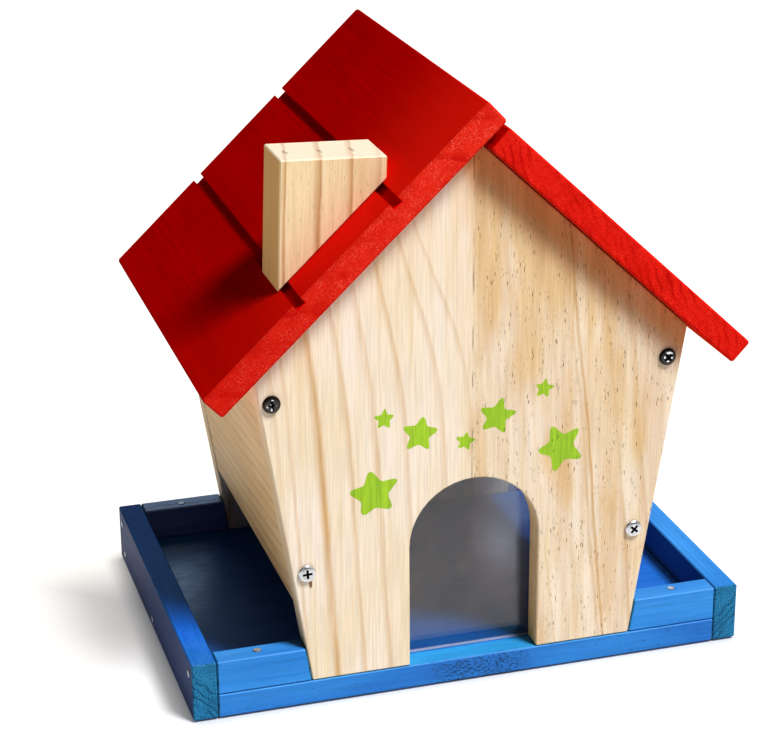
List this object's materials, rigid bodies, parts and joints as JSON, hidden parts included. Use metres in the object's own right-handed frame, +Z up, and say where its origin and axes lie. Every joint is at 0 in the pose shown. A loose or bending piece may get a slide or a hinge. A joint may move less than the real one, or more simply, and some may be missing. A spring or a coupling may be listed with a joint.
{
  "type": "bird feeder",
  "caption": "Gabled wooden house feeder on a railed tray, with an arched doorway, side seed slots, a block chimney and a hinged roof half that opens for filling.",
  "frame": {"origin": "middle of the tray's flat underside, on the surface it stands on", "axes": "+Z up, +X to the right seen from the front, +Y from the front gable with the doorway to the rear gable; the ridge runs along Y"},
  "size_m": [0.2806, 0.209, 0.2912],
  "materials": {
    "pine": "bare planed softwood with tan grain and short dark pore flecks",
    "blue_stain": "satin blue stain with the grain showing through",
    "red_stain": "satin dark red stain with faint streaks, coarse end grain",
    "clear_sheet": "clear acrylic sheet",
    "zinc_screw": "bright zinc plating",
    "wire_nail": "bright drawn steel",
    "brass": "plain rolled brass"
  },
  "bodies": {
    "house": {"front_panel": "pine", "rear_panel": "pine", "left_side_panel": "pine", "right_side_panel": "pine", "chimney": "pine", "base_board": "blue_stain", "left_rail": "blue_stain", "right_rail": "blue_stain", "front_left_rail": "blue_stain", "front_right_rail": "blue_stain", "rear_left_rail": "blue_stain", "rear_right_rail": "blue_stain", "left_roof_panel": "red_stain", "window_sheet": "clear_sheet", "front_upper_left_screw": "zinc_screw", "front_upper_right_screw": "zinc_screw", "front_lower_left_screw": "zinc_screw", "front_lower_right_screw": "zinc_screw", "rear_upper_left_screw": "zinc_screw", "rear_upper_right_screw": "zinc_screw", "rear_lower_left_screw": "zinc_screw", "rear_lower_right_screw": "zinc_screw", "front_left_foot_screw": "zinc_screw", "front_right_foot_screw": "zinc_screw", "rear_left_foot_screw": "zinc_screw", "rear_right_foot_screw": "zinc_screw", "front_left_rail_nail": "wire_nail", "front_right_rail_nail": "wire_nail", "rear_left_rail_nail": "wire_nail", "rear_right_rail_nail": "wire_nail", "left_rear_upper_nail": "wire_nail", "left_rear_lower_nail": "wire_nail", "left_middle_nail": "wire_nail", "left_front_upper_nail": "wire_nail", "right_rear_upper_nail": "wire_nail", "right_rear_lower_nail": "wire_nail", "right_middle_nail": "wire_nail", "right_front_upper_nail": "wire_nail", "chimney_upper_nail": "wire_nail", "chimney_lower_nail": "wire_nail", "front_hinge_pin": "wire_nail", "rear_hinge_pin": "wire_nail", "window_lower_left_tack": "brass", "window_lower_right_tack": "brass", "window_upper_left_tack": "brass", "window_upper_right_tack": "brass", "front_hinge_fixed_leaf": "brass", "rear_hinge_fixed_leaf": "brass", "front_hinge_fixed_screw_a": "brass", "front_hinge_fixed_screw_b": "brass", "rear_hinge_fixed_screw_a": "brass", "rear_hinge_fixed_screw_b": "brass"},
    "lid": {"right_roof_panel": "red_stain", "front_hinge_moving_leaf": "brass", "rear_hinge_moving_leaf": "brass", "front_hinge_moving_screw_a": "brass", "front_hinge_moving_screw_b": "brass", "rear_hinge_moving_screw_a": "brass", "rear_hinge_moving_screw_b": "brass"}
  },
  "joints": [
    {"name": "lid_hinge", "type": "hinge", "parent": "house", "child": "lid", "pos_m": [0.00952, 0, 0.27923], "axis": [0, -1, 0], "range_deg": [0, 88]}
  ]
}
